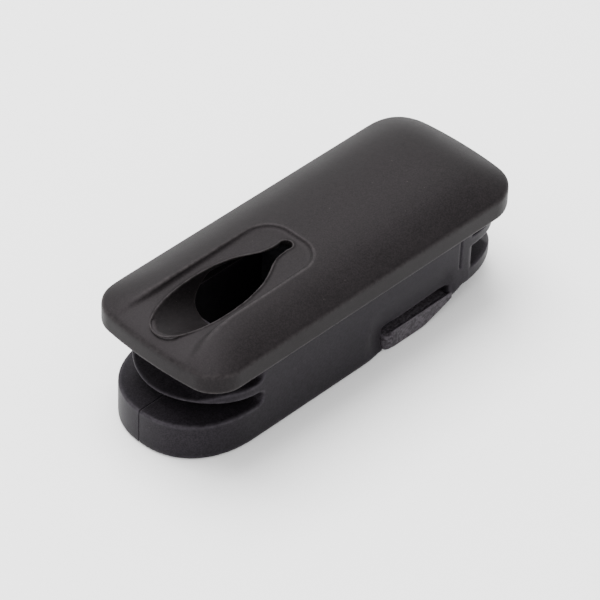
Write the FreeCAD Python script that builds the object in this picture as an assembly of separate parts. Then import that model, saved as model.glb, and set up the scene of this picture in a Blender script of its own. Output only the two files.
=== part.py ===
import FreeCAD, Part
import math
import os

from FreeCAD import Vector

# Cord lock that sits in a slit of a garment. Millimetres. +X is the long axis and points away from the
# keyhole end, +Z is up, and the origin is the middle of the underside. The cover slides towards +X on the
# body against two springs. At rest its narrow slot bites the cord, and pushed back it frees the cord.

# Cover: the plate that lies outside the garment
COVER_WIDTH = 14.0
COVER_HALF_LENGTH = 17.08
END_BOW = 0.65
NEAR_CORNER_RADIUS = 2.4
FAR_CORNER_RADIUS = 3.0
COVER_UNDERSIDE_Z = 7.91
COVER_EDGE_Z = 9.71
COVER_TOP_Z = 11.16
BORDER_WIDTH = 2.4
BORDER_CORNER_RADIUS = 1.2

# Thumb dish in the cover. Its floor falls towards the near end and runs out in the bevel there
DISH_SIDE_YS = (-3.05, 3.25)
DISH_FAR_X = -1.6
DISH_FAR_Z = 10.9
DISH_SLOPE = 0.035
DISH_CORNER_RADIUS = 2.3
DISH_FLOOR_THICKNESS = 0.5

# Cord opening: a tilted round bore that breaks out through the dish, and a narrow slot behind it
CORD_BORE_RADIUS = 2.4
CORD_BORE_ANGLE = 21.4
CORD_BORE_START_X = -16.8
CORD_BORE_START_Z = 10.28
CORD_BORE_END_X = -2.0
RAMP_END_X = -11.8
POCKET_SLOPE = 0.694
POCKET_HALF_WIDTH = 3.6
SLOT_WIDTH = 0.85
SLOT_START_X = -5.4
SLOT_END_X = -2.8
SLOT_END_RADIUS = 0.5

# Carriage: fixed in the cover, it carries the lugs and takes the springs
PLATE_NEAR_X = -1.4
PLATE_FAR_X = 13.2
PLATE_HALF_WIDTH = 5.0
PLATE_BOTTOM_Z = 7.95
PLATE_TOP_Z = 9.35
PEG_RADIUS = 0.9
PEG_HEIGHT = 0.8
PEG_X = (2.0, 11.0)
CROSS_WALL_FAR_X = 1.2
ARM_FAR_X = 5.4
ARM_OUTER_Y = 3.85
ARM_THICKNESS = 0.6
LUG_NEAR_X = 3.4
LUG_OUTER_Y = 4.9
LUG_BOTTOM_Z = 1.7
LUG_TOP_Z = 2.2

# Body: foot, block and fins
BODY_HALF_WIDTH = 5.83
END_CENTRE_X = 11.62
FOOT_END_LENGTH = 6.86
FOOT_END_POWER = 2.24
FOOT_TOP_Z = 3.35
FAR_FOOT_TOP_Z = 3.05
BLOCK_NEAR_X = -11.0
BLOCK_FAR_X = 13.2
BLOCK_TOP_Z = 7.6
BLOCK_CORNER_RADIUS = 0.9
FLUTE_X = 11.4
FLUTE_WIDTH = 0.25
FLUTE_DEPTH = 0.2
FLUTE_BOTTOM_Z = 3.7
HEEL_START_X = 7.2
HEEL_END_X = 11.9
HEEL_HEIGHT = 1.7
HEEL_BULGE = 0.1

# Fins: tongues over the ends of the foot. The fabric lies between a fin and the foot
NEAR_FIN_LENGTH = 5.5
NEAR_FIN_POWER = 1.85
NEAR_FIN_TIP = (4.84, 4.96)
NEAR_FIN_ROOT = (4.62, 5.61)
NEAR_FIN_THICK_X = 14.2
NEAR_FIN_THIN_X = 15.6
FAR_FIN_LENGTH = 6.0
FAR_FIN_POWER = 3.0
FAR_FIN_TIP = (5.4, 5.75)
FAR_FIN_ROOT = (5.3, 6.3)
FAR_FIN_THICK_X = 15.6
FAR_FIN_THIN_X = 17.0

# Chamber inside the block, and the cord hole in its floor
CHAMBER_NEAR_X = -10.0
CHAMBER_FAR_X = 10.1
CHAMBER_HALF_WIDTH = 4.0
THROAT_TOP_X = -10.8
THROAT_BOTTOM_Z = 5.5
FLOOR_Z = 1.5
CORD_HOLE_X = -5.5
CORD_HOLE_RADIUS = 2.5

# Side windows, the scoops above them, and the clip whose ears stand in front of them
WINDOW_NEAR_X = 2.95
WINDOW_FAR_X = 10.3
WINDOW_TOP_Z = 2.5
SCOOP_NEAR_X = 0.7
SCOOP_FAR_X = 10.9
SCOOP_RADIUS = 7.3
SCOOP_DEPTH = 0.28
SCOOP_END_ROUNDING = 1.3
RECESS_NEAR_X = 1.9
CLIP_NEAR_X = 2.9
CLIP_FAR_X = 10.6
CLIP_CLEARANCE = 0.06
EAR_THICKNESS = 0.5
EAR_OUTER_Y = 5.9
EAR_TOP_Z = 1.85
EAR_LEAN = 0.8
EAR_BEVEL = 0.42
TONGUE_LENGTH = 1.0
TONGUE_HALF_WIDTH = 3.0
TONGUE_BOTTOM_Z = 0.5
TONGUE_TOP_Z = 1.1

# Springs
SPRING_Y = 1.6
SPRING_Z = 4.6
SPRING_MEAN_RADIUS = 1.15
SPRING_WIRE = 0.3
SPRING_TURNS = 8
SPIGOT_RADIUS = 0.8
SPIGOT_LENGTH = 1.5

TALL = 30.0
SIDES = (("left", 1), ("right", -1))


def box(x0, x1, y0, y1, z0, z1):
    """A block between two corners."""
    return Part.makeBox(x1 - x0, y1 - y0, z1 - z0, Vector(x0, y0, z0))


def slab(half_width, points):
    """A prism across the object from an outline in the XZ plane."""
    wire = Part.makePolygon([Vector(x, -half_width, z) for x, z in points + points[:1]])
    return Part.Face(wire).extrude(Vector(0, 2 * half_width, 0))


def upright_edges(solid):
    """The edges of a solid that run along Z."""
    return [e for e in solid.Edges if e.BoundBox.XLength < 1e-6 and e.BoundBox.YLength < 1e-6]


def cover_outline(inset, near_radius, far_radius, z):
    """The cover's plan at height z: straight sides, bowed ends and rounded corners."""
    x, y = COVER_HALF_LENGTH - inset, COVER_WIDTH / 2 - inset
    corners = [Vector(-x, -y, 0), Vector(x, -y, 0), Vector(x, y, 0), Vector(-x, y, 0)]
    edges = [
        Part.makeLine(corners[0], corners[1]),
        Part.Arc(corners[1], Vector(x + END_BOW, 0, 0), corners[2]).toShape(),
        Part.makeLine(corners[2], corners[3]),
        Part.Arc(corners[3], Vector(-x - END_BOW, 0, 0), corners[0]).toShape(),
    ]
    plate = Part.Face(Part.Wire(edges)).extrude(Vector(0, 0, 1))
    near = [e for e in upright_edges(plate) if e.CenterOfMass.x < 0]
    far = [e for e in upright_edges(plate) if e.CenterOfMass.x > 0]
    plate = plate.makeFillet(near_radius, near).makeFillet(far_radius, far)
    bottom = min(plate.Faces, key=lambda f: f.CenterOfMass.z)
    outline = bottom.OuterWire.copy()
    outline.translate(Vector(0, 0, z))
    return outline


def end_curve(centre_x, length, power, side):
    """Half of a superellipse that rounds one end of the body. side is -1 near, 1 far."""
    points = []
    steps = 16
    for i in range(steps + 1):
        angle = math.pi * (i / steps - 0.5)
        across = math.copysign(abs(math.sin(angle)) ** (2 / power), math.sin(angle))
        along = abs(math.cos(angle)) ** (2 / power)
        points.append(Vector(side * (centre_x + length * along), BODY_HALF_WIDTH * across, 0))
    curve = Part.BSplineCurve()
    curve.interpolate(points)
    return curve.toShape()


def dish_floor(x):
    """Height of the dish's floor."""
    return DISH_FAR_Z + DISH_SLOPE * (x - DISH_FAR_X)


def dish():
    """The space of the thumb dish: open towards the near end, with a sloping floor."""
    near_x = -COVER_HALF_LENGTH - END_BOW - 1
    plan = box(near_x, DISH_FAR_X, *DISH_SIDE_YS, 0, TALL)
    far = [e for e in upright_edges(plan) if e.CenterOfMass.x > near_x]
    plan = plan.makeFillet(DISH_CORNER_RADIUS, far)
    above = [(near_x, dish_floor(near_x)), (DISH_FAR_X, DISH_FAR_Z), (DISH_FAR_X, TALL), (near_x, TALL)]
    return plan.common(slab(COVER_WIDTH, above))


def cord_bore():
    """The tilted bore. Its lowest line starts at the near tip of the opening."""
    tilt = math.radians(CORD_BORE_ANGLE)
    axis = Vector(math.cos(tilt), 0, -math.sin(tilt))
    lead = 5
    start = Vector(CORD_BORE_START_X, 0, CORD_BORE_START_Z + CORD_BORE_RADIUS / math.cos(tilt)) - axis * lead
    length = (CORD_BORE_END_X - CORD_BORE_START_X) / math.cos(tilt) + lead
    return Part.makeCylinder(CORD_BORE_RADIUS, length, start, axis)


def narrow_slot():
    """The slot that bites the cord, with a round end."""
    slot = box(SLOT_START_X, SLOT_END_X, -SLOT_WIDTH / 2, SLOT_WIDTH / 2, COVER_UNDERSIDE_Z, TALL)
    end = Part.makeCylinder(SLOT_END_RADIUS, TALL, Vector(SLOT_END_X, 0, COVER_UNDERSIDE_Z))
    return slot.fuse(end)


def cord_pocket():
    """The hollow under the dish. Its near wall leans, so the ramp ends in a thin curved lip."""
    roof_near_z = dish_floor(RAMP_END_X) - DISH_FLOOR_THICKNESS
    lean_length = (roof_near_z - COVER_UNDERSIDE_Z) / (POCKET_SLOPE - DISH_SLOPE)
    lean_top_x = RAMP_END_X + lean_length
    far_x = PLATE_NEAR_X - 0.1
    points = [(RAMP_END_X - 1 / POCKET_SLOPE, COVER_UNDERSIDE_Z - 1)]
    points += [(x, dish_floor(x) - DISH_FLOOR_THICKNESS) for x in (lean_top_x, far_x)]
    return slab(POCKET_HALF_WIDTH, points + [(far_x, COVER_UNDERSIDE_Z - 1)])


def make_cover():
    """Plate with a bevelled border, dish, keyhole opening, and a pocket that takes the carriage."""
    edge = cover_outline(0, NEAR_CORNER_RADIUS, FAR_CORNER_RADIUS, COVER_UNDERSIDE_Z)
    side = Part.Face(edge).extrude(Vector(0, 0, COVER_EDGE_Z - COVER_UNDERSIDE_Z))
    low = cover_outline(0, NEAR_CORNER_RADIUS, FAR_CORNER_RADIUS, COVER_EDGE_Z)
    high = cover_outline(BORDER_WIDTH, BORDER_CORNER_RADIUS, BORDER_CORNER_RADIUS, COVER_TOP_Z)
    cover = side.fuse(Part.makeLoft([low, high], True, True)).removeSplitter()
    cover = cover.cut(dish()).cut(cord_pocket())
    cover = cover.cut(cord_bore()).cut(narrow_slot())
    gap = COVER_UNDERSIDE_Z - 1
    wide = PLATE_HALF_WIDTH + 0.05
    cover = cover.cut(box(PLATE_NEAR_X - 0.05, PLATE_FAR_X + 0.05, -wide, wide, gap, PLATE_TOP_Z + 0.05))
    for x in PEG_X:
        hole = Part.makeCylinder(PEG_RADIUS + 0.02, PEG_HEIGHT + 0.1, Vector(x, 0, PLATE_TOP_Z))
        cover = cover.cut(hole)
    return cover.removeSplitter()


def spigots(x0, x1):
    """Two short pins that centre the ends of the springs."""
    pins = []
    for _, side in SIDES:
        start = Vector(x0, side * SPRING_Y, SPRING_Z)
        pins.append(Part.makeCylinder(SPIGOT_RADIUS, abs(x1 - x0), start, Vector(x1 - x0, 0, 0)))
    return pins


def make_carriage():
    """Plate under the cover, a cross wall that pushes the springs, and two arms that end in lugs."""
    plate = box(PLATE_NEAR_X, PLATE_FAR_X, -PLATE_HALF_WIDTH, PLATE_HALF_WIDTH, PLATE_BOTTOM_Z, PLATE_TOP_Z)
    pieces = [box(PLATE_NEAR_X, CROSS_WALL_FAR_X, -ARM_OUTER_Y, ARM_OUTER_Y, LUG_BOTTOM_Z, PLATE_BOTTOM_Z)]
    for _, side in SIDES:
        low, high = sorted((side * (ARM_OUTER_Y - ARM_THICKNESS), side * ARM_OUTER_Y))
        pieces.append(box(PLATE_NEAR_X, ARM_FAR_X, low, high, LUG_BOTTOM_Z, PLATE_BOTTOM_Z))
        low, high = sorted((side * ARM_OUTER_Y, side * LUG_OUTER_Y))
        pieces.append(box(LUG_NEAR_X, ARM_FAR_X, low, high, LUG_BOTTOM_Z, LUG_TOP_Z))
    for x in PEG_X:
        pieces.append(Part.makeCylinder(PEG_RADIUS, PEG_HEIGHT, Vector(x, 0, PLATE_TOP_Z)))
    pieces += spigots(CROSS_WALL_FAR_X, CROSS_WALL_FAR_X + SPIGOT_LENGTH)
    return plate.fuse(pieces).removeSplitter()


def make_foot():
    """The foot: rounded ends, and a far end that is a little lower than the near end."""
    near = end_curve(END_CENTRE_X, FOOT_END_LENGTH, FOOT_END_POWER, -1)
    far = end_curve(END_CENTRE_X, FOOT_END_LENGTH, FOOT_END_POWER, 1)
    x, y = END_CENTRE_X, BODY_HALF_WIDTH
    sides = [Part.makeLine(Vector(-x, s * y, 0), Vector(x, s * y, 0)) for s in (1, -1)]
    outline = Part.Wire(Part.__sortEdges__([near, far] + sides))
    foot = Part.Face(outline).extrude(Vector(0, 0, FOOT_TOP_Z))
    tip = END_CENTRE_X + FOOT_END_LENGTH + 1
    return foot.cut(box(BLOCK_FAR_X - 1, tip, -y - 1, y + 1, FAR_FOOT_TOP_Z, FOOT_TOP_Z + 1))


def make_fin(side, length, power, tip, root, thick_x, thin_x):
    """A tongue over one end of the foot. tip and root are its lowest and highest z there."""
    curve = end_curve(END_CENTRE_X, length, power, side)
    block_x = side * (BLOCK_FAR_X if side > 0 else -BLOCK_NEAR_X)
    root_x = block_x - side * (BLOCK_CORNER_RADIUS + 1)
    start, end = curve.Vertexes[0].Point, curve.Vertexes[-1].Point
    corners = [end, Vector(root_x, end.y, 0), Vector(root_x, start.y, 0), start]
    lines = [Part.makeLine(a, b) for a, b in zip(corners, corners[1:])]
    plan = Part.Face(Part.Wire([curve] + lines)).extrude(Vector(0, 0, TALL))
    beyond_x = side * (END_CENTRE_X + length + 0.2)
    upper = [(root_x, root[1]), (side * thick_x, root[1]), (side * thin_x, tip[1] + 0.1), (beyond_x, tip[1])]
    return plan.common(slab(BODY_HALF_WIDTH + 1, upper + [(beyond_x, tip[0]), (root_x, root[0])]))


def make_block():
    """The block that fills the slit of the garment, with a flute near the far end of each side."""
    y = BODY_HALF_WIDTH
    block = box(BLOCK_NEAR_X, BLOCK_FAR_X, -y, y, 0, BLOCK_TOP_Z)
    block = block.makeFillet(BLOCK_CORNER_RADIUS, upright_edges(block))
    x0, x1 = FLUTE_X - FLUTE_WIDTH / 2, FLUTE_X + FLUTE_WIDTH / 2
    for _, side in SIDES:
        low, high = sorted((side * (y - FLUTE_DEPTH), side * (y + 1)))
        block = block.cut(box(x0, x1, low, high, FLUTE_BOTTOM_Z, BLOCK_TOP_Z + 1))
    return block


def heel():
    """The space under the far end of the foot, which is ramped so that it slips into the slit."""
    x0, x1 = HEEL_START_X, HEEL_END_X
    y = BODY_HALF_WIDTH + 1
    middle = Vector((x0 + x1) / 2, -y, HEEL_HEIGHT / 2 - HEEL_BULGE)
    ramp = Part.Arc(Vector(x0, -y, 0), middle, Vector(x1, -y, HEEL_HEIGHT)).toShape()
    far_x = END_CENTRE_X + FOOT_END_LENGTH + 1
    corners = [Vector(x1, -y, HEEL_HEIGHT), Vector(far_x, -y, HEEL_HEIGHT), Vector(far_x, -y, -1)]
    corners += [Vector(x0, -y, -1), Vector(x0, -y, 0)]
    lines = [Part.makeLine(a, b) for a, b in zip(corners, corners[1:])]
    return Part.Face(Part.Wire([ramp] + lines)).extrude(Vector(0, 2 * y, 0))


def scoop(side):
    """A shallow hollow in the side wall, deepest at the top edge of the window."""
    centre_y = side * (BODY_HALF_WIDTH + SCOOP_RADIUS - SCOOP_DEPTH)
    start = Vector(SCOOP_NEAR_X, centre_y, WINDOW_TOP_Z)
    bar = Part.makeCylinder(SCOOP_RADIUS, SCOOP_FAR_X - SCOOP_NEAR_X, start, Vector(1, 0, 0))
    rims = [e for e in bar.Edges if e.BoundBox.XLength < 1e-6]
    return bar.makeFillet(SCOOP_END_ROUNDING, rims)


def clip_space():
    """The channel across the underside that takes the clip, with a slot for its tongue."""
    gap = CLIP_CLEARANCE
    y = BODY_HALF_WIDTH + 1
    channel = box(CLIP_NEAR_X - gap, CLIP_FAR_X + gap, -y, y, -1, FLOOR_Z)
    tongue = box(
        CLIP_NEAR_X - TONGUE_LENGTH - gap, CLIP_NEAR_X,
        -TONGUE_HALF_WIDTH - gap, TONGUE_HALF_WIDTH + gap,
        TONGUE_BOTTOM_Z - gap, TONGUE_TOP_Z + gap,
    )
    return channel.fuse(tongue)


def make_body():
    """Foot, block and fins in one moulding, hollowed for the cord and for the sliding carriage."""
    near_fin = make_fin(
        -1, NEAR_FIN_LENGTH, NEAR_FIN_POWER, NEAR_FIN_TIP, NEAR_FIN_ROOT, NEAR_FIN_THICK_X, NEAR_FIN_THIN_X
    )
    far_fin = make_fin(
        1, FAR_FIN_LENGTH, FAR_FIN_POWER, FAR_FIN_TIP, FAR_FIN_ROOT, FAR_FIN_THICK_X, FAR_FIN_THIN_X
    )
    body = make_foot().fuse([make_block(), near_fin, far_fin]).removeSplitter().cut(heel())
    y = CHAMBER_HALF_WIDTH
    body = body.cut(box(CHAMBER_NEAR_X, CHAMBER_FAR_X, -y, y, FLOOR_Z, BLOCK_TOP_Z + 1))
    throat = [(THROAT_TOP_X, BLOCK_TOP_Z + 1), (THROAT_TOP_X, BLOCK_TOP_Z), (CHAMBER_NEAR_X, THROAT_BOTTOM_Z)]
    throat += [(CHAMBER_NEAR_X + 1, THROAT_BOTTOM_Z), (CHAMBER_NEAR_X + 1, BLOCK_TOP_Z + 1)]
    body = body.cut(slab(y, throat))
    body = body.cut(Part.makeCylinder(CORD_HOLE_RADIUS, TALL, Vector(CORD_HOLE_X, 0, -1)))
    for _, side in SIDES:
        body = body.cut(scoop(side))
        outer = side * (BODY_HALF_WIDTH + 1)
        low, high = sorted((side * (BODY_HALF_WIDTH - SCOOP_DEPTH), outer))
        body = body.cut(box(RECESS_NEAR_X, WINDOW_FAR_X, low, high, 0, WINDOW_TOP_Z))
        low, high = sorted((side * (y - 0.5), outer))
        body = body.cut(box(WINDOW_NEAR_X, WINDOW_FAR_X, low, high, FLOOR_Z, WINDOW_TOP_Z))
    body = body.cut(clip_space())
    return body.fuse(spigots(CHAMBER_FAR_X, CHAMBER_FAR_X - SPIGOT_LENGTH)).removeSplitter()


def make_base_clip():
    """A plate that closes the spring chamber from below, with an ear up each side and a tongue."""
    y, top = BODY_HALF_WIDTH, FLOOR_Z - CLIP_CLEARANCE
    clip = box(CLIP_NEAR_X, CLIP_FAR_X, -y, y, 0, top)
    side_view = [(CLIP_NEAR_X, 0), (CLIP_NEAR_X + EAR_LEAN, EAR_TOP_Z)]
    side_view += [(CLIP_FAR_X, EAR_TOP_Z), (CLIP_FAR_X, 0)]
    inner = EAR_OUTER_Y - EAR_THICKNESS
    ears = slab(EAR_OUTER_Y, side_view).cut(box(CLIP_NEAR_X - 1, CLIP_FAR_X + 1, -inner, inner, -1, TALL))
    tops = [e for e in ears.Edges if e.BoundBox.ZMin > EAR_TOP_Z - 0.01 and e.BoundBox.XLength > 1]
    ears = ears.makeChamfer(EAR_BEVEL, [e for e in tops if abs(e.CenterOfMass.y) < inner + 0.01])
    tongue = box(
        CLIP_NEAR_X - TONGUE_LENGTH, CLIP_NEAR_X,
        -TONGUE_HALF_WIDTH, TONGUE_HALF_WIDTH, TONGUE_BOTTOM_Z, TONGUE_TOP_Z,
    )
    return clip.fuse([ears, tongue]).cut(heel()).removeSplitter()


def make_spring(side):
    """A compression spring between the cross wall of the carriage and the far wall of the chamber."""
    length = CHAMBER_FAR_X - CROSS_WALL_FAR_X - SPRING_WIRE - 0.02
    helix = Part.makeHelix(length / SPRING_TURNS, length, SPRING_MEAN_RADIUS)
    ring = Part.makeCircle(SPRING_WIRE / 2, Vector(SPRING_MEAN_RADIUS, 0, 0), Vector(0, 1, 0))
    coil = Part.Wire(helix).makePipeShell([Part.Wire(ring)], True, True)
    coil.rotate(Vector(0, 0, 0), Vector(0, 1, 0), 90)
    coil.translate(Vector(CROSS_WALL_FAR_X + SPRING_WIRE / 2 + 0.01, side * SPRING_Y, SPRING_Z))
    return coil


def main():
    parts = {
        "cover": make_cover(),
        "carriage": make_carriage(),
        "body": make_body(),
        "base_clip": make_base_clip(),
    }
    for name, side in SIDES:
        parts["spring_" + name] = make_spring(side)
    os.makedirs("parts", exist_ok=True)
    for name, shape in parts.items():
        bounds = shape.BoundBox
        print(name, "solids", len(shape.Solids), "valid", shape.isValid(), "volume", round(shape.Volume, 2))
        print("  x", round(bounds.XMin, 2), round(bounds.XMax, 2), "y", round(bounds.YMin, 2),
              round(bounds.YMax, 2), "z", round(bounds.ZMin, 2), round(bounds.ZMax, 2))
        shape.exportStep(os.path.join("parts", name + ".step"))


main()
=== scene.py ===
import math

import bpy
import numpy as np
from mathutils import Matrix, Vector


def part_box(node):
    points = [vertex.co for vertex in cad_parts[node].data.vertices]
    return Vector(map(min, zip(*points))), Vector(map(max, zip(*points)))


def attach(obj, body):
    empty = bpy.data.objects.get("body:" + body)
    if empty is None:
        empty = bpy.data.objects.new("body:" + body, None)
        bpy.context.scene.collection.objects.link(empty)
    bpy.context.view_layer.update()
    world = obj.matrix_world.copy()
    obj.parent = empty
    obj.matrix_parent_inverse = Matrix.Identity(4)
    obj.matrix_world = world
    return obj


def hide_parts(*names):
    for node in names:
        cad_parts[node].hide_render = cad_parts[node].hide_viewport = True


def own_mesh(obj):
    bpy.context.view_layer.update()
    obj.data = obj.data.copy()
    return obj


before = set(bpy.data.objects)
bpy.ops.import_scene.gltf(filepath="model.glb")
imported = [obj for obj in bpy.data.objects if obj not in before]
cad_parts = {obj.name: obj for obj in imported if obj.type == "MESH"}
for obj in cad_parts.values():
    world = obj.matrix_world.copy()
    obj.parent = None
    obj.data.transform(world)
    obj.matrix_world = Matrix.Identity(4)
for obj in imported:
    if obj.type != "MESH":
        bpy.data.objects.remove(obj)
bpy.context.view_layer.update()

# Lengths are in millimetres until a mesh is made. The overall sizes come from the frame.
MM = 0.001


def box_mm(node):
    """Lowest and highest corner of a CAD node, in millimetres."""
    low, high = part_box(node)
    return low / MM, high / MM


COVER_LOW, COVER_HIGH = box_mm("cover")
BODY_LOW, BODY_HIGH = box_mm("body")
CLIP_LOW, CLIP_HIGH = box_mm("base_clip")

# Cover
END_BOW = 0.65
CORNER_RADIUS = (2.4, 3.0)
BORDER_HEIGHT = 1.45
BORDER_WIDTH = 2.4
TOP_BLEND = 1.5
MITRE_BLEND = 2.9
DISH_SIDES = (-3.05, 3.25)
DISH_FAR_X = -1.6
DISH_FAR_Z = 10.9
DISH_SLOPE = 0.035
DISH_CORNER_RADIUS = 2.3
FLOOR_THICKNESS = 0.5
BORE_RADIUS = 2.4
LIP_RADIUS = 0.13
BORE_ANGLE = math.radians(21.4)
BORE_START = (-16.8, 10.28)
SLOT = {"near": -5.4, "far": -2.8, "half_width": 0.43, "end_radius": 0.5}
POCKET_NEAR_X = -11.8
POCKET_SLOPE = 0.694
RAMP_WAVE = 0.22
POCKET_HALF_WIDTH = 3.6
CARRIAGE_POCKET = {"near": -1.45, "far": 13.25, "half_width": 5.05, "top": 9.4}
DISH_FADE = {"start": -11, "length": 5}
COVER_EDGES = {"plan": 0.24, "bottom": 0.2, "dish_floor": 0.42, "dish_rim": 0.2, "dish_end": 0.8, "lip": 0.12,
               "pocket": 0.08}

# Body
HALF_WIDTH = 5.83
END_CENTRE_X = 11.62
FOOT_POWER = 2.24
FOOT_TOP = {"near": 3.35, "far": 3.05}
FOOT_CHAMFER_X = 16.0
BLOCK = {"near": -11.0, "far": 13.2, "top": 7.6, "corners": (0.45, 0.9)}
ROOT_FILLETS = (0.8, 0.08)
SEAM = {"y": 0.1, "width": 0.06, "depth": 0.1}
HEEL = {"start": 7.2, "end": 11.9, "height": 1.7, "bulge": 0.1}
CHAMBER = {"near": -10.0, "far": 10.1, "half_width": 4.0, "floor": 1.5}
CORD_HOLE = {"x": -5.5, "radius": 2.5}
WINDOW = {"near": 2.95, "far": 10.3, "top": 2.5, "top_line": [(2.4, 2.35), (10.3, 2.65)]}
DENT = {"x": 2.9, "z": 1.45, "length": 1.3, "height": 1.05, "depth": 0.45, "bottom": 0.45}
SCOOP = {"near": 0.7, "far": 10.9, "radius": 7.3, "depth": 0.28}
NEAR_FIN = {"length": 5.5, "power": 1.85, "edge": 0.05,
            "top": [(-17.2, 4.96), (-15.6, 5.08), (-14.2, 5.61)], "low": [(-17.2, 4.84), (-10.5, 4.62)]}
FAR_FIN = {"length": 6.0, "power": 3.0, "edge": 0.12,
           "top": [(15.6, 6.3), (17.6, 5.75)], "low": [(12.0, 5.3), (17.6, 5.4)]}
BODY_EDGES = {"foot": 0.16, "block_top": 0.15, "flute": 0.06, "flute_end": 0.2, "chamber": 0.08,
              "cord_hole": 0.2, "heel": 0.3, "scoop": 0.25, "scoop_end": 1.6, "recess": 0.12, "window": 0.1,
              "window_corner": 0.5, "dent": 0.5, "clip": 0.06}
FLUTE = {"x": 11.4, "width": 0.22, "depth": 0.12, "bottom": 3.7}
CLIP_GAP = 0.06
TONGUE = {"length": 1.0, "half_width": 3.0, "bottom": 0.5, "top": 1.1}
EAR = {"inner_y": 5.4, "lean": 0.8, "bevel": 0.42}
CLIP_EDGE = 0.12
CLIP_NEAR_ROUNDING = {"extra": 0.5, "from": 1, "length": 0.7}

# Springs
SPRING = {"y": 1.6, "z": 4.6, "near": 1.2, "far": 10.1, "radius": 1.15, "wire": 0.3, "turns": 8}

# Edge lightening, partly wear and partly painted highlight, starts where an edge stands out this far from the
# rounded surface, and is full at the second height
WEAR_AND_HIGHLIGHT = (0.012, 0.04)

GRID_STEP = {"cover": 0.075, "body": 0.085, "clip": 0.06, "seam": 0.025}

# Light and camera. The light's place and size are in metres, and the camera's distance and slide in millimetres
WORLD = {"strength": 2.25, "dim_side": (0.59, -0.75, 0.3), "dim_strength": 1.4}
OVERHEAD = {"place": (0.04, 0.24, 0.56), "size": 0.5, "energy": 8.0}
CAMERA = {"azimuth": -47.25, "elevation": 40.58, "roll": 2.23, "distance": 299.7, "lens": 230.7,
          "slide": (-0.83, -4.64)}
FLOOR = {"half": 0.6, "z": -0.00002, "colour": (0.93, 0.93, 0.93), "roughness": 0.7}


# Shapes as distance fields: a field is negative inside the shape, and lengths are millimetres


def both(a, b, blend=0.0):
    """Where two shapes overlap. blend rounds the edge between them, and may be a field."""
    if np.isscalar(blend) and not blend:
        return np.maximum(a, b)
    near = np.maximum(1 - np.abs(a - b) / (1.5 * blend), 0)
    return np.maximum(a, b) + blend / 4 * near**3


def either(a, b, blend=0.0):
    """Two shapes joined. blend fills the corner between them."""
    return -both(-a, -b, blend)


def without(a, b, blend=0.0):
    """The first shape with the second cut out. blend rounds the rim."""
    return both(a, -b, blend)


def between(value, low, high):
    """The slab of space where value lies between low and high."""
    return np.maximum(low - value, value - high)


def round_corner(u, v, radius):
    """Overlap of two half-planes with a round corner."""
    u, v = u + radius, v + radius
    outside = np.hypot(np.maximum(u, 0), np.maximum(v, 0))
    return outside + np.minimum(np.maximum(u, v), 0) - radius


def plan_distance(g, field):
    """A field of x and y, scaled to grow by one per millimetre."""
    slopes = np.gradient(field[:, :, 0], g.axes[0], g.axes[1])
    return (field / np.maximum(np.hypot(*slopes), 0.05)[:, :, None]).astype(np.float32)


def end_plan(g, length, power):
    """Plan of the body: straight sides, and superellipses of this length at both ends."""
    along = np.maximum(np.abs(g.x) - END_CENTRE_X, 0) / length
    across = np.abs(g.y) / HALF_WIDTH
    return plan_distance(g, (along**power + across**power) ** (1 / power) - 1)


def line_between(x, points):
    """Height at x of a line through points given as (x, z)."""
    return np.interp(x, [p[0] for p in points], [p[1] for p in points]).astype(np.float32)


class Grid:
    """A block of points on straight lines. x, y and z can be used as fields.

    fine gives a range of y with closer lines, as (low, high, step).
    """

    def __init__(self, low, high, step, fine=None):
        counts = [int(math.ceil((b - a) / step)) + 5 for a, b in zip(low, high)]
        self.axes = [low[i] + step * (np.arange(counts[i]) - 2.0) for i in range(3)]
        if fine:
            coarse = self.axes[1]
            close = np.arange(fine[0], fine[1], fine[2])
            before, after = coarse[coarse < fine[0] - step / 3], coarse[coarse > fine[1]]
            self.axes[1] = np.concatenate([before, close, after])
        lines = [a.astype(np.float32) for a in self.axes]
        self.x, self.y, self.z = np.meshgrid(*lines, indexing="ij", sparse=True)

    def surface(self, field):
        """Vertices and quads of the surface where field is zero.

        Each cell that the surface passes through has a vertex, and each grid edge that it cuts has a quad.
        """
        field = np.broadcast_to(field, np.broadcast_shapes(self.x.shape, self.y.shape, self.z.shape))
        inside = field < 0
        size = inside.shape
        count = np.zeros([n - 1 for n in size], np.int8)
        for i, j, k in np.ndindex(2, 2, 2):
            count += inside[i:size[0] - 1 + i, j:size[1] - 1 + j, k:size[2] - 1 + k]
        active = (count > 0) & (count < 8)
        cells = np.argwhere(active)
        index = np.full(active.shape, -1, np.int32)
        index[active] = np.arange(len(cells))
        total, crossings = np.zeros((len(cells), 3)), np.zeros((len(cells), 1))
        quads = []
        units = np.eye(3, dtype=int)
        for axis in range(3):
            u, v = units[(axis + 1) % 3], units[(axis + 2) % 3]
            for i, j in np.ndindex(2, 2):
                start = cells + i * u + j * v
                end = start + units[axis]
                a, b = field[tuple(start.T)], field[tuple(end.T)]
                cut = (a < 0) != (b < 0)
                share = (a[cut] / (a[cut] - b[cut]))[:, None]
                total[cut] += start[cut] + share * units[axis]
                crossings[cut] += 1
            ahead = np.roll(inside, -1, axis)
            changed = inside != ahead
            edges = np.argwhere(changed)
            fits = (edges < np.array(size) - 1).all(1) & (edges >= u + v).all(1)
            edges = edges[fits]
            ring = [index[tuple((edges - s * u - t * v).T)] for s, t in ((1, 1), (0, 1), (0, 0), (1, 0))]
            ring = np.stack(ring, 1)
            falls = ~inside[tuple(edges.T)]
            ring[falls] = ring[falls][:, ::-1]
            quads.append(ring)
        total /= crossings
        points = [np.interp(total[:, i], np.arange(size[i]), self.axes[i]) for i in range(3)]
        return np.stack(points, 1), np.concatenate(quads)


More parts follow.
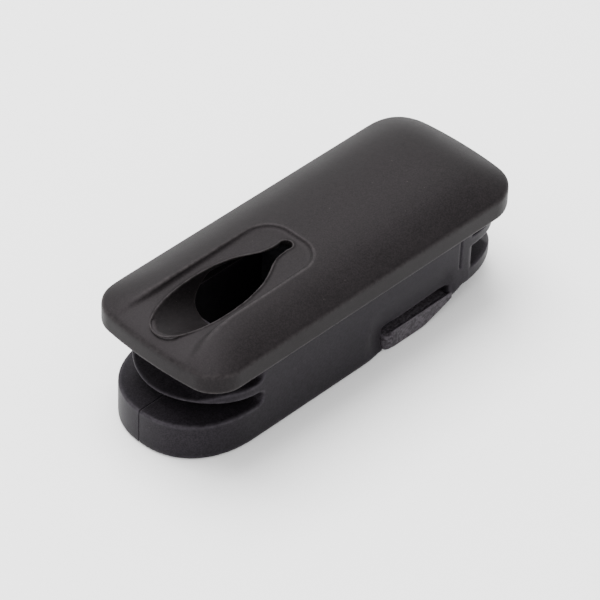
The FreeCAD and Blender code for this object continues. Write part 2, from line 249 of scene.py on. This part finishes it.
def edge_wear_and_highlight(points, quads, rounds=14):
    """How much each vertex is lightened, partly as wear and partly as painted edge highlight: 0 on flat walls
    and in corners, 1 where an edge stands out.
    """
    starts, ends = quads.ravel(), np.roll(quads, -1, 1).ravel()
    starts, ends = np.concatenate([starts, ends]), np.concatenate([ends, starts])
    count = np.bincount(starts, minlength=len(points))[:, None]

    def average(values):
        sums = [np.bincount(starts, values[ends, i], len(points)) for i in range(values.shape[1])]
        return np.stack(sums, 1) / count

    flat = points
    for _ in range(rounds):
        flat = average(flat)
    a, b, c, d = (points[quads[:, i]] for i in range(4))
    face = np.cross(c - a, d - b)
    normal = np.zeros((len(points), 3))
    for corner in range(4):
        for i in range(3):
            normal[:, i] += np.bincount(quads[:, corner], face[:, i], len(points))
    normal /= np.maximum(np.linalg.norm(normal, axis=1), 1e-12)[:, None]
    out = np.einsum("ij,ij->i", points - flat, normal)
    return np.clip((out - WEAR_AND_HIGHLIGHT[0]) / (WEAR_AND_HIGHLIGHT[1] - WEAR_AND_HIGHLIGHT[0]), 0, 1)


def add_piece(name, points, quads, body, material, stands_for, slot):
    """A smooth-shaded mesh in metres, which rides on a CAD body and stands for a CAD node."""
    mesh = bpy.data.meshes.new(name)
    mesh.vertices.add(len(points))
    mesh.vertices.foreach_set("co", np.asarray(points * MM, np.float32).ravel())
    mesh.loops.add(4 * len(quads))
    mesh.loops.foreach_set("vertex_index", np.asarray(quads, np.int32).ravel())
    mesh.polygons.add(len(quads))
    mesh.polygons.foreach_set("loop_start", np.arange(0, 4 * len(quads), 4, dtype=np.int32))
    mesh.polygons.foreach_set("use_smooth", np.ones(len(quads), bool))
    mesh.update(calc_edges=True)
    mesh.validate()
    # Edge lightening for the materials: partly wear, partly painted highlight along the rims
    wear_and_highlight = mesh.attributes.new("wear_and_highlight", "FLOAT", "POINT")
    wear_and_highlight.data.foreach_set("value", edge_wear_and_highlight(points, quads).astype(np.float32))
    piece = bpy.data.objects.new(name, mesh)
    bpy.context.scene.collection.objects.link(piece)
    mesh.materials.append(material)
    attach(piece, body)
    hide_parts(stands_for)
    return piece


def soften(piece, rounds):
    """Evens out the last steps of the grid along sharp edges."""
    modifier = piece.modifiers.new("soften", "SMOOTH")
    modifier.factor = 0.5
    modifier.iterations = rounds


# The cover


def keyhole(x, y, z):
    """The cord's way in: an inclined bore whose outline on the dish floor ends in a narrow slot."""
    start_x, start_z = BORE_START
    axis_z = start_z + BORE_RADIUS / math.cos(BORE_ANGLE)
    off_axis = (x - start_x) * math.sin(BORE_ANGLE) + (z - axis_z) * math.cos(BORE_ANGLE)
    bore = np.hypot(off_axis, y) - BORE_RADIUS
    slot = both(between(x, SLOT["near"], SLOT["far"]), np.abs(y) - SLOT["half_width"])
    slot = either(slot, np.hypot(x - SLOT["far"], y) - SLOT["end_radius"], 0.12)
    return both(either(bore, slot, 0.9), x - SLOT["far"] - SLOT["end_radius"])


def cover_field(g):
    """The cover: a bevelled plate with a thumb dish, the cord's way in, and a pocket under each."""
    x, y, z = g.x, g.y, g.z
    low_z, top_z = COVER_LOW.z, COVER_HIGH.z
    edge_z = top_z - BORDER_HEIGHT
    half_width = COVER_HIGH.y
    half_length = COVER_HIGH.x - END_BOW * (y / half_width) ** 2
    radius = np.where(x < 0, *CORNER_RADIUS)
    plan = round_corner(np.abs(x) - half_length, np.abs(y) - half_width, radius)
    slope = BORDER_HEIGHT / BORDER_WIDTH
    inset = both(np.abs(x) - half_length, np.abs(y) - half_width, MITRE_BLEND)
    border = (z - edge_z + slope * inset) / math.hypot(1, slope)
    shell = both(z - top_z, border, TOP_BLEND)
    shell = both(shell, plan, COVER_EDGES["plan"])
    shell = both(shell, low_z - z, COVER_EDGES["bottom"])

    floor = DISH_FAR_Z + DISH_SLOPE * (x - DISH_FAR_X)
    dish_plan = round_corner(x - DISH_FAR_X, between(y, *DISH_SIDES), DISH_CORNER_RADIUS)
    fade = np.clip((DISH_FADE["start"] - x) / DISH_FADE["length"], 0, 1)
    dish = both(dish_plan, floor - z, COVER_EDGES["dish_floor"])
    shell = without(shell, dish, COVER_EDGES["dish_rim"] + COVER_EDGES["dish_end"] * fade * fade)
    lip_z = either(floor, edge_z - slope * inset, 0.3)
    lip = np.hypot(plan_distance(g, keyhole(x, y, lip_z)), z - lip_z) - LIP_RADIUS
    shell = either(shell, lip, COVER_EDGES["lip"])

    roof = floor - FLOOR_THICKNESS
    ramp_end = POCKET_NEAR_X + RAMP_WAVE * np.sin(2.1 * y + 0.5)
    lean = (z - low_z - POCKET_SLOPE * (x - ramp_end)) / math.hypot(1, POCKET_SLOPE)
    pocket = both(between(y, -POCKET_HALF_WIDTH, POCKET_HALF_WIDTH), z - roof)
    pocket = both(both(pocket, lean), x - CARRIAGE_POCKET["near"])
    shell = without(shell, pocket, COVER_EDGES["pocket"])
    shell = without(shell, keyhole(x, y, z), COVER_EDGES["lip"])

    room = CARRIAGE_POCKET
    carriage = both(between(x, room["near"], room["far"]), between(y, -room["half_width"], room["half_width"]))
    return without(shell, both(carriage, z - room["top"]), COVER_EDGES["pocket"])


# The body


def fin(g, shape):
    """A thin tongue over one end of the foot."""
    thickness = between(g.z, line_between(g.x, shape["low"]), line_between(g.x, shape["top"]))
    return both(end_plan(g, shape["length"], shape["power"]), thickness, shape["edge"])


def below_heel(x, z):
    """The space under the heel, where the underside rises towards the far end."""
    share = np.clip((x - HEEL["start"]) / (HEEL["end"] - HEEL["start"]), 0, 1)
    underside = HEEL["height"] * share - 4 * HEEL["bulge"] * share * (1 - share)
    return (underside - z) * 0.93


def body_field(g):
    """The body: foot, block and fins, with the chamber, the cord hole and the side windows cut out."""
    x, y, z = g.x, g.y, g.z
    width = np.abs(y)
    foot_plan = end_plan(g, BODY_HIGH.x - END_CENTRE_X, FOOT_POWER)
    foot_top = np.where(x > 0, FOOT_TOP["far"], FOOT_TOP["near"]) - 0.3 * np.maximum(x - FOOT_CHAMFER_X, 0)
    foot = both(foot_plan, z - foot_top, BODY_EDGES["foot"])
    seam = both(np.abs(y - SEAM["y"]) - SEAM["width"] / 2, -SEAM["depth"] - foot)
    foot = without(foot, both(seam, x - BLOCK["near"]))

    middle, half = (BLOCK["near"] + BLOCK["far"]) / 2, (BLOCK["far"] - BLOCK["near"]) / 2
    corner = np.where(x < 0, *BLOCK["corners"])
    block = round_corner(np.abs(x - middle) - half, width - HALF_WIDTH, corner)
    block = both(block, z - BLOCK["top"], BODY_EDGES["block_top"])
    flute = both(between(x, FLUTE["x"] - FLUTE["width"] / 2, FLUTE["x"] + FLUTE["width"] / 2),
                 HALF_WIDTH - FLUTE["depth"] - width)
    block = without(block, both(flute, FLUTE["bottom"] - z, BODY_EDGES["flute_end"]), BODY_EDGES["flute"])

    near_fin = both(fin(g, NEAR_FIN), x - BLOCK["near"] - 1)
    far_fin = both(fin(g, FAR_FIN), BLOCK["far"] - 1 - x)

    fillet = np.where(x < 0, *ROOT_FILLETS)
    body = either(either(foot, block, fillet), either(near_fin, far_fin), fillet)
    body = both(body, width - HALF_WIDTH)

    body = both(body, below_heel(x, z), BODY_EDGES["heel"])

    chamber_near = line_between(z, [(5.5, CHAMBER["near"]), (BLOCK["top"], BLOCK["near"] + 0.2)])
    room = both(between(x, chamber_near, CHAMBER["far"]), width - CHAMBER["half_width"])
    body = without(body, both(room, CHAMBER["floor"] - z), BODY_EDGES["chamber"])
    body = without(body, np.hypot(x - CORD_HOLE["x"], y) - CORD_HOLE["radius"], BODY_EDGES["cord_hole"])

    hollow = np.hypot(width - HALF_WIDTH - SCOOP["radius"] + SCOOP["depth"], z - WINDOW["top"]) - SCOOP["radius"]
    hollow = both(hollow, between(x, SCOOP["near"], SCOOP["far"]), BODY_EDGES["scoop_end"])
    body = without(body, hollow, BODY_EDGES["scoop"])
    grows = np.clip((x - SCOOP["near"]) / (WINDOW["near"] - SCOOP["near"]), 0, 1)
    grows = grows * grows * (3 - 2 * grows)
    recess = SCOOP["depth"] * grows - 0.2 * (1 - grows)
    window_top = line_between(x, WINDOW["top_line"])
    low_part = both(between(z, DENT["bottom"], window_top), HALF_WIDTH - recess - width, 0.2)
    body = without(body, both(low_part, x - WINDOW["far"], 0.3), BODY_EDGES["recess"])
    window = both(between(x, WINDOW["near"], WINDOW["far"]), CHAMBER["half_width"] - 0.5 - width)
    window = both(window, between(z, CHAMBER["floor"] - 0.3, window_top), BODY_EDGES["window_corner"])
    body = without(body, window, BODY_EDGES["window"])
    along, up = (x - DENT["x"]) / DENT["length"], (z - DENT["z"]) / DENT["height"]
    inward = (width - HALF_WIDTH) / DENT["depth"]
    dent = (np.sqrt(along * along + up * up + inward * inward) - 1) * DENT["depth"]
    body = without(body, dent, BODY_EDGES["dent"])

    channel = both(between(x, CLIP_LOW.x + TONGUE["length"] - CLIP_GAP, CLIP_HIGH.x + CLIP_GAP),
                   z - CHAMBER["floor"])
    tongue = both(between(x, CLIP_LOW.x - CLIP_GAP, CLIP_HIGH.x), width - TONGUE["half_width"] - CLIP_GAP)
    tongue = both(tongue, between(z, TONGUE["bottom"] - CLIP_GAP, TONGUE["top"] + CLIP_GAP))
    return without(body, either(channel, tongue), BODY_EDGES["clip"])


def clip_field(g):
    """The clip: a plate across the underside, with a bevelled ear up each side and a tongue."""
    x, y, z = g.x, g.y, g.z
    width = np.abs(y)
    near = CLIP_LOW.x + TONGUE["length"]
    corner = CLIP_NEAR_ROUNDING
    rounding = CLIP_EDGE + corner["extra"] * np.clip((near + corner["from"] - x) / corner["length"], 0, 1)
    plate = both(between(x, near, CLIP_HIGH.x), width - HALF_WIDTH, rounding)
    plate = both(plate, between(z, 0, CHAMBER["floor"] - CLIP_GAP), 0.1)
    lean = (z * EAR["lean"] / CLIP_HIGH.z - (x - near)) / math.hypot(1, EAR["lean"] / CLIP_HIGH.z)
    ears = both(both(lean, x - CLIP_HIGH.x, 0.2), between(z, 0, CLIP_HIGH.z), 0.25)
    ears = both(ears, between(width, EAR["inner_y"], CLIP_HIGH.y), rounding)
    bevel = (z - CLIP_HIGH.z + EAR["bevel"] - (width - EAR["inner_y"])) / math.sqrt(2)
    ears = both(ears, bevel, 0.1)
    tongue = both(between(x, CLIP_LOW.x, near + 1), width - TONGUE["half_width"])
    tongue = both(tongue, between(z, TONGUE["bottom"], TONGUE["top"]), 0.1)
    clip = either(either(plate, ears), tongue)
    return both(clip, below_heel(x, z), 0.15)


# The springs


def spring_mesh(side):
    """A wire coil with its end turns closed up, as a tube of quads."""
    turns, steps, sides = SPRING["turns"] + 2, 40, 10
    t = np.linspace(0, 1, turns * steps + 1)
    turn = t * turns
    wire = SPRING["wire"]
    first, last = SPRING["near"] + wire / 2 + 0.02, SPRING["far"] - wire / 2 - 0.02
    free = np.clip((turn - 1) / (turns - 2), 0, 1)
    x = first + wire * 1.02 * np.minimum(turn, 1) + (last - first - 2.04 * wire) * free
    x = x + wire * 1.02 * np.maximum(turn - turns + 1, 0)
    angle = 2 * math.pi * turn
    across, up = np.cos(angle), np.sin(angle)
    centre = np.stack([x, SPRING["radius"] * across, SPRING["radius"] * up], 1)
    along = np.gradient(centre, axis=0)
    along /= np.linalg.norm(along, axis=1)[:, None]
    out = np.stack([np.zeros_like(x), across, up], 1)
    binormal = np.cross(along, out)
    rings = []
    for k in range(sides):
        a = 2 * math.pi * k / sides
        rings.append(centre + wire / 2 * (math.cos(a) * out + math.sin(a) * binormal))
    points = np.stack(rings, 1).reshape(-1, 3) + [0, side * SPRING["y"], SPRING["z"]]
    quads = []
    for i in range(len(t) - 1):
        for k in range(sides):
            a, b = i * sides + k, i * sides + (k + 1) % sides
            quads.append((a, b, b + sides, a + sides))
    return points, np.array(quads)


# Materials


class Nodes:
    """Short calls for a material's node tree. Coordinates are millimetres in the object's own frame."""

    def __init__(self, name):
        self.material = bpy.data.materials.new(name)
        self.material.use_nodes = True
        self.tree = self.material.node_tree
        self.shader = self.tree.nodes["Principled BSDF"]
        place = self.tree.nodes.new("ShaderNodeTexCoord")
        scale = self.add("ShaderNodeVectorMath", operation="SCALE")
        scale.inputs["Scale"].default_value = 1 / MM
        self.link(place.outputs["Object"], scale.inputs[0])
        self.place = scale.outputs[0]

    def add(self, kind, **settings):
        node = self.tree.nodes.new(kind)
        for key, value in settings.items():
            setattr(node, key, value)
        return node

    def link(self, output, socket):
        self.tree.links.new(output, socket)

    def noise(self, scale, detail=2.0, roughness=0.5):
        node = self.add("ShaderNodeTexNoise")
        node.inputs["Scale"].default_value = scale
        node.inputs["Detail"].default_value = detail
        node.inputs["Roughness"].default_value = roughness
        self.link(self.place, node.inputs["Vector"])
        return node.outputs["Fac"]

    def ramp(self, value, low, high, to_low=0.0, to_high=1.0):
        node = self.add("ShaderNodeMapRange")
        self.link(value, node.inputs["Value"])
        for socket, number in zip(("From Min", "From Max", "To Min", "To Max"), (low, high, to_low, to_high)):
            node.inputs[socket].default_value = number
        return node.outputs["Result"]

    def math(self, operation, a, b=0.0):
        node = self.add("ShaderNodeMath", operation=operation)
        for socket, value in zip(node.inputs, (a, b)):
            if isinstance(value, (int, float)):
                socket.default_value = value
            else:
                self.link(value, socket)
        return node.outputs[0]

    def mix(self, share, a, b):
        node = self.add("ShaderNodeMix", data_type="RGBA")
        self.link(share, node.inputs["Factor"])
        for socket, value in ((node.inputs["A"], a), (node.inputs["B"], b)):
            if isinstance(value, tuple):
                socket.default_value = (*value, 1)
            else:
                self.link(value, socket)
        return node.outputs["Result"]

    def bump(self, height, distance, strength):
        node = self.add("ShaderNodeBump")
        node.inputs["Distance"].default_value = distance * MM
        node.inputs["Strength"].default_value = strength
        self.link(height, node.inputs["Height"])
        return node.outputs["Normal"]


def black_plastic(name, dark, light, worn_and_highlight_colour, tint, roughness, grain):
    """Moulded black plastic: cloudy colour, grain of this scale, edges lightened partly by wear and partly as
    painted highlight, and a few tiny dust specks.
    """
    n = Nodes(name)
    clouds = n.ramp(n.noise(0.22, 4, 0.6), 0.3, 0.7)
    mottle = n.ramp(n.noise(2.6, 3, 0.6), 0.3, 0.7)
    fine = n.noise(grain, 3, 0.65)
    pits = n.ramp(fine, 0.4, 0.62)
    shade = n.math("ADD", n.math("MULTIPLY", clouds, 0.2), n.math("MULTIPLY", mottle, 0.2))
    cover = n.mix(n.math("ADD", shade, n.math("MULTIPLY", pits, 0.6)), dark, light)
    # Lighter edges: partly wear, partly painted highlight where the rims catch light
    edges = n.add("ShaderNodeAttribute", attribute_name="wear_and_highlight")
    worn_and_highlight = n.math("MULTIPLY", edges.outputs["Fac"], n.ramp(mottle, 0.1, 0.9, 0.3, 1.0))
    cover = n.mix(worn_and_highlight, cover, worn_and_highlight_colour)
    specks = n.add("ShaderNodeTexVoronoi", feature="F1")
    specks.inputs["Scale"].default_value = 1.9
    n.link(n.place, specks.inputs["Vector"])
    chosen = n.add("ShaderNodeSeparateColor")
    n.link(specks.outputs["Color"], chosen.inputs[0])
    dust = n.math("LESS_THAN", specks.outputs["Distance"], n.ramp(chosen.outputs[0], 0.6, 1.0, 0.0, 0.07))
    cover = n.mix(n.math("MULTIPLY", dust, 0.7), cover, (0.05, 0.046, 0.043))
    n.link(cover, n.shader.inputs["Base Color"])
    sheen = n.math("ADD", n.ramp(fine, 0.25, 0.75, -0.06, 0.06), n.ramp(clouds, 0, 1, -0.03, 0.03))
    n.link(n.math("ADD", sheen, roughness), n.shader.inputs["Roughness"])
    n.shader.inputs["Specular IOR Level"].default_value = 0.1
    n.shader.inputs["Specular Tint"].default_value = (*tint, 1)
    height = n.math("ADD", fine, n.math("MULTIPLY", n.noise(1.1, 2), 0.5))
    n.link(n.bump(height, 0.02, 0.35), n.shader.inputs["Normal"])
    return n.material


def spring_wire(name):
    """Drawn steel wire: fine lines along the coil, and a little dark oil."""
    n = Nodes(name)
    stain = n.ramp(n.noise(1.5, 3), 0.35, 0.7)
    n.link(n.mix(stain, (0.42, 0.42, 0.43), (0.62, 0.62, 0.63)), n.shader.inputs["Base Color"])
    n.shader.inputs["Metallic"].default_value = 1
    scratches = n.noise(14, 2)
    n.link(n.ramp(scratches, 0.2, 0.8, 0.24, 0.42), n.shader.inputs["Roughness"])
    n.link(n.bump(scratches, 0.004, 0.4), n.shader.inputs["Normal"])
    return n.material


COVER_PLASTIC = black_plastic("cover_plastic", (0.0008, 0.0007, 0.0007), (0.0092, 0.0078, 0.0083),
                              (0.022, 0.0195, 0.02), (0.98, 0.88, 0.93), 0.5, 8.0)
BODY_PLASTIC = black_plastic("body_plastic", (0.0018, 0.0015, 0.0019), (0.0152, 0.0132, 0.016),
                             (0.023, 0.0207, 0.024), (0.95, 0.87, 1.0), 0.48, 8.0)
CLIP_PLASTIC = black_plastic("clip_plastic", (0.003, 0.0027, 0.003), (0.075, 0.067, 0.076),
                             (0.05, 0.045, 0.051), (0.97, 0.9, 1.0), 0.46, 5.0)
CARRIAGE_PLASTIC = black_plastic("carriage_plastic", (0.006, 0.006, 0.007), (0.03, 0.03, 0.034),
                                 (0.04, 0.04, 0.042), (1.0, 1.0, 1.0), 0.42, 8.0)
SPRING_STEEL = spring_wire("spring_steel")


# Pieces

cover_grid = Grid(COVER_LOW, COVER_HIGH, GRID_STEP["cover"])
cover = add_piece("cover_shell", *cover_grid.surface(cover_field(cover_grid)), "slider", COVER_PLASTIC, "cover",
                  "cover_plastic")
soften(cover, 3)

body_grid = Grid(BODY_LOW, BODY_HIGH, GRID_STEP["body"], (SEAM["y"] - 0.2, SEAM["y"] + 0.2, GRID_STEP["seam"]))
body = add_piece("body_moulding", *body_grid.surface(body_field(body_grid)), "housing", BODY_PLASTIC, "body",
                 "body_plastic")
soften(body, 2)

clip_grid = Grid(CLIP_LOW, CLIP_HIGH, GRID_STEP["clip"])
clip = add_piece("clip_plate", *clip_grid.surface(clip_field(clip_grid)), "housing", CLIP_PLASTIC, "base_clip",
                 "clip_plastic")
soften(clip, 2)

for name, side in (("left", 1), ("right", -1)):
    spring = add_piece("coil_" + name, *spring_mesh(side), "housing", SPRING_STEEL, "spring_" + name,
                       "spring_steel")
    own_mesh(spring)

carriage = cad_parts["carriage"]
carriage.data.materials.clear()
carriage.data.materials.append(CARRIAGE_PLASTIC)
rounding = carriage.modifiers.new("rounding", "BEVEL")
rounding.width = 0.08 * MM
rounding.segments = 2
rounding.limit_method = "ANGLE"


# Floor, light and camera


def add_floor():
    """A pale sheet under the object."""
    half, z = FLOOR["half"], FLOOR["z"]
    mesh = bpy.data.meshes.new("floor")
    corners = [(-half, -half, z), (half, -half, z), (half, half, z), (-half, half, z)]
    mesh.from_pydata(corners, [], [(0, 1, 2, 3)])
    n = Nodes("floor")
    n.shader.inputs["Base Color"].default_value = (*FLOOR["colour"], 1)
    n.shader.inputs["Roughness"].default_value = FLOOR["roughness"]
    mesh.materials.append(n.material)
    piece = bpy.data.objects.new("floor", mesh)
    bpy.context.scene.collection.objects.link(piece)


def add_light(name, place, size, energy):
    """A square soft light that faces the object."""
    data = bpy.data.lights.new(name, "AREA")
    data.energy, data.size = energy, size
    piece = bpy.data.objects.new(name, data)
    bpy.context.scene.collection.objects.link(piece)
    piece.location = place
    target = Vector((0, 0, 0.005))
    piece.rotation_euler = (target - Vector(place)).to_track_quat("-Z", "Y").to_euler()


def add_camera(azimuth, elevation, roll, distance, lens, slide):
    """A camera that looks at the top of the object's side. slide moves it along its own right and up."""
    azimuth, elevation, roll = (math.radians(angle) for angle in (azimuth, elevation, roll))
    back = Vector((math.sin(azimuth) * math.cos(elevation), -math.cos(azimuth) * math.cos(elevation),
                   math.sin(elevation)))
    right = Vector((math.cos(azimuth), math.sin(azimuth), 0))
    up = back.cross(right)
    right, up = (right * math.cos(roll) + up * math.sin(roll), up * math.cos(roll) - right * math.sin(roll))
    data = bpy.data.cameras.new("camera")
    data.sensor_width, data.lens = 36, lens
    data.clip_start, data.clip_end = 0.02, 5
    piece = bpy.data.objects.new("camera", data)
    bpy.context.scene.collection.objects.link(piece)
    target = Vector((0, 0, COVER_HIGH.z - BORDER_HEIGHT))
    place = target + back * distance + right * slide[0] + up * slide[1]
    piece.matrix_world = Matrix.Translation(place * MM) @ Matrix((right, up, back)).transposed().to_4x4()
    bpy.context.scene.camera = piece


def add_world(strength, dim_side, dim_strength):
    """White light from all around, weaker from the direction dim_side."""
    world = bpy.data.worlds.new("studio")
    bpy.context.scene.world = world
    world.use_nodes = True
    nodes, links = world.node_tree.nodes, world.node_tree.links
    place, toward, fade = (nodes.new("ShaderNode" + kind) for kind in ("TexCoord", "VectorMath", "MapRange"))
    toward.operation = "DOT_PRODUCT"
    toward.inputs[1].default_value = dim_side
    links.new(place.outputs["Generated"], toward.inputs[0])
    links.new(toward.outputs["Value"], fade.inputs["Value"])
    limits = {"From Min": 0.1, "From Max": 0.85, "To Min": strength, "To Max": dim_strength}
    for socket, number in limits.items():
        fade.inputs[socket].default_value = number
    links.new(fade.outputs["Result"], nodes["Background"].inputs["Strength"])
    nodes["Background"].inputs["Color"].default_value = (1, 1, 1, 1)


add_floor()
add_world(**WORLD)
add_light("overhead", **OVERHEAD)
add_camera(**CAMERA)
